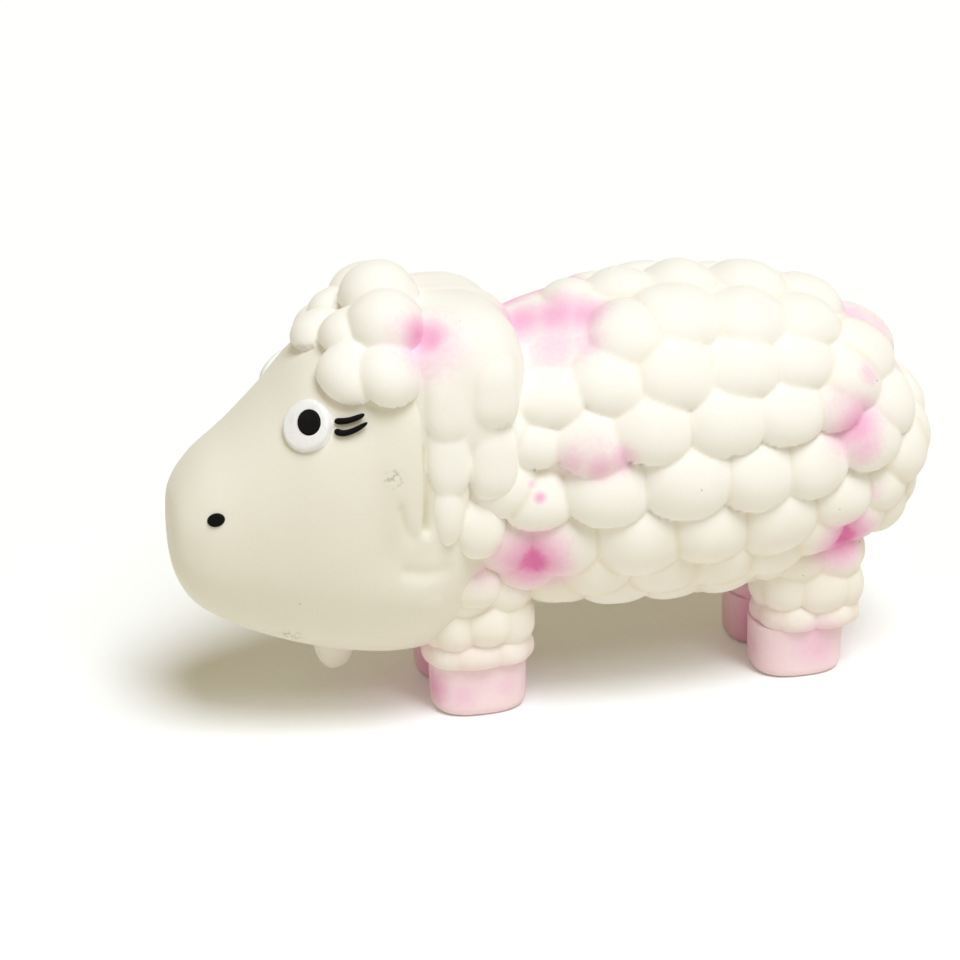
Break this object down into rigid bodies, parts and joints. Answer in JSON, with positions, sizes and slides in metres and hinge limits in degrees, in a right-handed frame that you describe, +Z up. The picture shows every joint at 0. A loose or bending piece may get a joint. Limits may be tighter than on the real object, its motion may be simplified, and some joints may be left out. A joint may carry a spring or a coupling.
{
  "type": "squeaky latex sheep toy",
  "caption": "Hollow moulded latex sheep toy with a curly fleece, hanging ears, pink hooves and a squeaker in its belly, for a dog to carry and chew.",
  "frame": {"origin": "the middle of the footprint, on the plane that the four soles stand on", "axes": "-X towards the muzzle, -Y towards the sheep's left side, +Z up"},
  "size_m": [0.1599, 0.058, 0.0934],
  "materials": {
    "fleece_latex": "matte",
    "face_latex": "matte",
    "hoof_latex": "matte",
    "white_paint": "satin",
    "black_paint": "satin",
    "squeaker_plastic": "satin",
    "reed_film": "gloss",
    "polyester_wadding": "matte"
  },
  "bodies": {
    "toy": {"fleece_body": "fleece_latex", "forelock": "fleece_latex", "ear_left": "fleece_latex", "ear_right": "fleece_latex", "jaw_curl_left": "fleece_latex", "jaw_curl_right": "fleece_latex", "chin_tuft": "fleece_latex", "tail": "fleece_latex", "leg_front_left": "fleece_latex", "leg_front_right": "fleece_latex", "leg_rear_left": "fleece_latex", "leg_rear_right": "fleece_latex", "head": "face_latex", "hoof_front_left": "hoof_latex", "hoof_front_right": "hoof_latex", "hoof_rear_left": "hoof_latex", "hoof_rear_right": "hoof_latex", "eye_white_left": "white_paint", "pupil_left": "black_paint", "nostril_left": "black_paint", "lash_upper_left": "black_paint", "lash_lower_left": "black_paint", "eye_white_right": "white_paint", "pupil_right": "black_paint", "nostril_right": "black_paint", "lash_upper_right": "black_paint", "lash_lower_right": "black_paint", "squeaker_housing": "squeaker_plastic", "reed_seat": "squeaker_plastic", "squeaker_cap": "squeaker_plastic", "wadding_body": "polyester_wadding", "wadding_head": "polyester_wadding"},
    "reed": {"reed": "reed_film"}
  },
  "joints": [
    {"name": "reed_flutter", "type": "hinge", "parent": "toy", "child": "reed", "pos_m": [0.01015, 0, 0.02527], "axis": [0, -1, 0], "range_deg": [-1.5, 8], "stiffness_Nm_per_rad": 0.0003}
  ]
}
